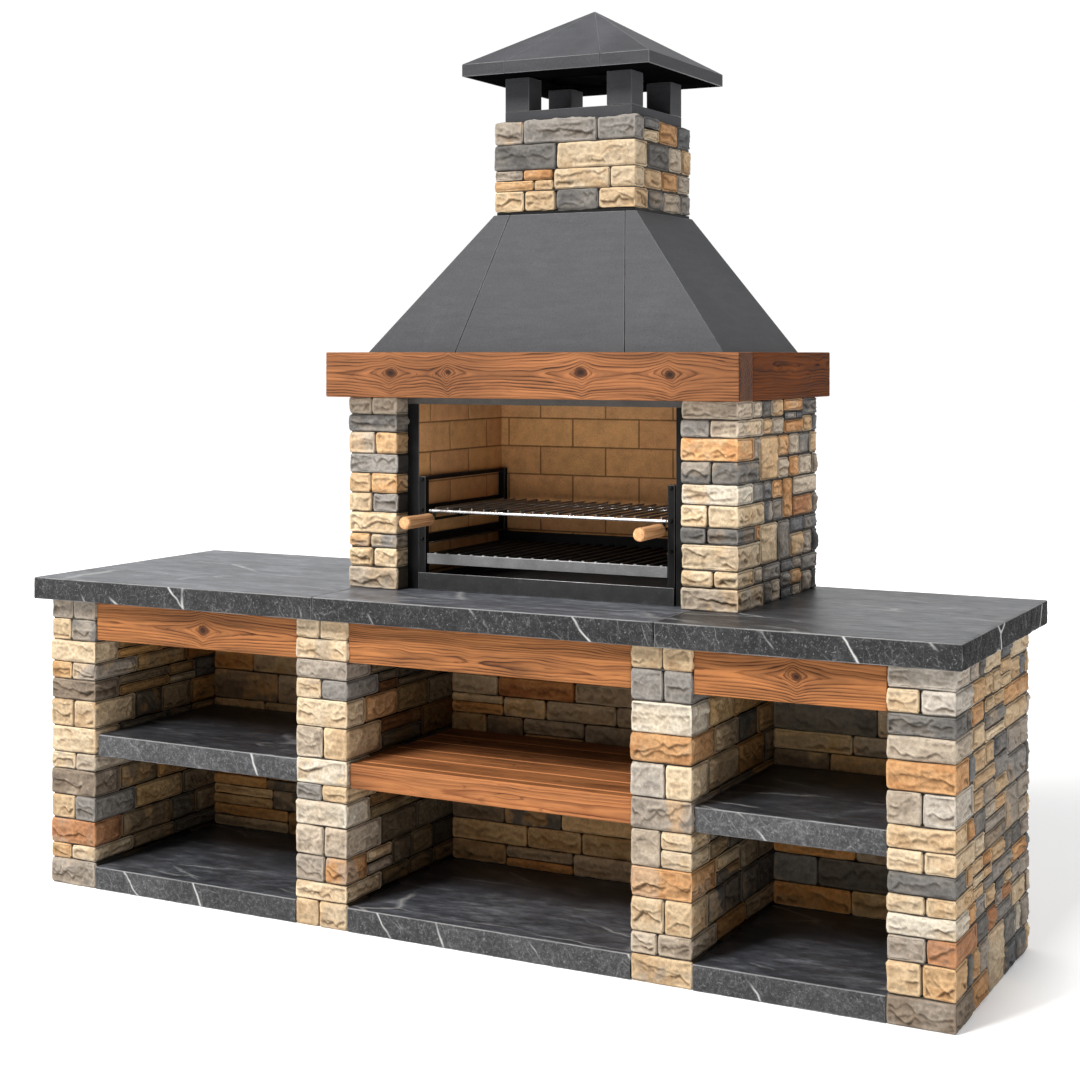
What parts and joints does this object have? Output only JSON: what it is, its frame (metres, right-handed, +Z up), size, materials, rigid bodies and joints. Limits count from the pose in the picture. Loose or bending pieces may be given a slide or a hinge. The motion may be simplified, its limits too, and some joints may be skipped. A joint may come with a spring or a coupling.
{
  "type": "masonry barbecue",
  "caption": "Free-standing masonry barbecue: stone base with open storage bays and dark worktop, brick-lined firebox with pull-out grates and ash tray, timber mantel, hood and capped chimney.",
  "frame": {"origin": "bottom centre of the bounding box, on the ground under the middle of the worktop", "axes": "+X along the worktop to the right seen from the front, +Y from the front to the back, +Z up"},
  "size_m": [2.748, 0.855, 2.516],
  "materials": {
    "facing_stone": "rough split-faced sandstone and slate, mixed buff, cream, grey and rust",
    "concrete": "plain concrete block",
    "mortar": "raked dark mortar",
    "slate": "honed charcoal stone with pale veins",
    "timber": "brushed and oiled softwood with knots",
    "shelf_timber": "oiled red-brown hardwood",
    "beech": "turned light beech, satin",
    "firebrick": "buff firebrick, matt",
    "black_steel": "heat-proof black paint, matt",
    "grey_steel": "dull grey rolled steel",
    "tray_steel": "dark grey satin paint",
    "chrome": "bright plated",
    "charcoal_sheet": "matt charcoal coating, slightly cloudy"
  },
  "bodies": {
    "masonry": {"left_outer_pier_stones": "facing_stone", "left_inner_pier_stones": "facing_stone", "right_inner_pier_stones": "facing_stone", "right_outer_pier_stones": "facing_stone", "bay_back_stones": "facing_stone", "base_rear_stones": "facing_stone", "left_firebox_wall_stones": "facing_stone", "right_firebox_wall_stones": "facing_stone", "firebox_rear_stones": "facing_stone", "chimney_stones": "facing_stone", "pier_cores": "concrete", "base_back_wall_core": "concrete", "firebox_wall_cores": "concrete", "hood_bearing_kerbs": "concrete", "mortar_beds": "mortar", "left_floor_slab": "slate", "middle_floor_slab": "slate", "right_floor_slab": "slate", "left_shelf_slab": "slate", "right_shelf_slab": "slate", "left_counter_slab": "slate", "middle_counter_slab": "slate", "right_counter_slab": "slate", "left_apron_board": "timber", "middle_apron_board": "timber", "right_apron_board": "timber", "mantel_front_beam": "timber", "mantel_side_beams": "timber", "apron_cleats": "timber", "wood_shelf_fascia": "shelf_timber", "wood_shelf_slats": "shelf_timber", "wood_shelf_bearers": "shelf_timber", "side_firebrick_linings": "firebrick", "rear_firebrick_lining": "firebrick", "hearth_tiles": "firebrick", "flue_liner": "firebrick", "steel_jambs": "black_steel", "left_grill_ladder": "black_steel", "right_grill_ladder": "black_steel", "ladder_bolts": "black_steel", "shelf_ledger_bars": "black_steel", "hood_top_frame": "black_steel", "steel_lintel": "grey_steel", "hood_front_panels": "charcoal_sheet", "hood_left_panel": "charcoal_sheet", "hood_right_panel": "charcoal_sheet", "hood_back_panel": "charcoal_sheet", "cap_base_frame": "charcoal_sheet", "cap_posts": "charcoal_sheet", "cap_soffit": "charcoal_sheet", "cap_fascia": "charcoal_sheet", "cap_roof_sheets": "charcoal_sheet"},
    "cooking_grate": {"cooking_grate_frame": "chrome", "cooking_grate_rods": "chrome", "grate_handle_rods": "black_steel", "left_wooden_grip": "beech", "right_wooden_grip": "beech"},
    "fire_grate": {"fire_grate_frame": "grey_steel", "fire_grate_bars": "black_steel"},
    "ash_tray_drawer": {"ash_tray": "tray_steel"}
  },
  "joints": [
    {"name": "cooking_grate_slide", "type": "slide", "parent": "masonry", "child": "cooking_grate", "axis": [0, -1, 0], "range_m": [0, 0.3]},
    {"name": "fire_grate_slide", "type": "slide", "parent": "masonry", "child": "fire_grate", "axis": [0, -1, 0], "range_m": [0, 0.3]},
    {"name": "ash_tray_slide", "type": "slide", "parent": "masonry", "child": "ash_tray_drawer", "axis": [0, -1, 0], "range_m": [0, 0.35]}
  ]
}
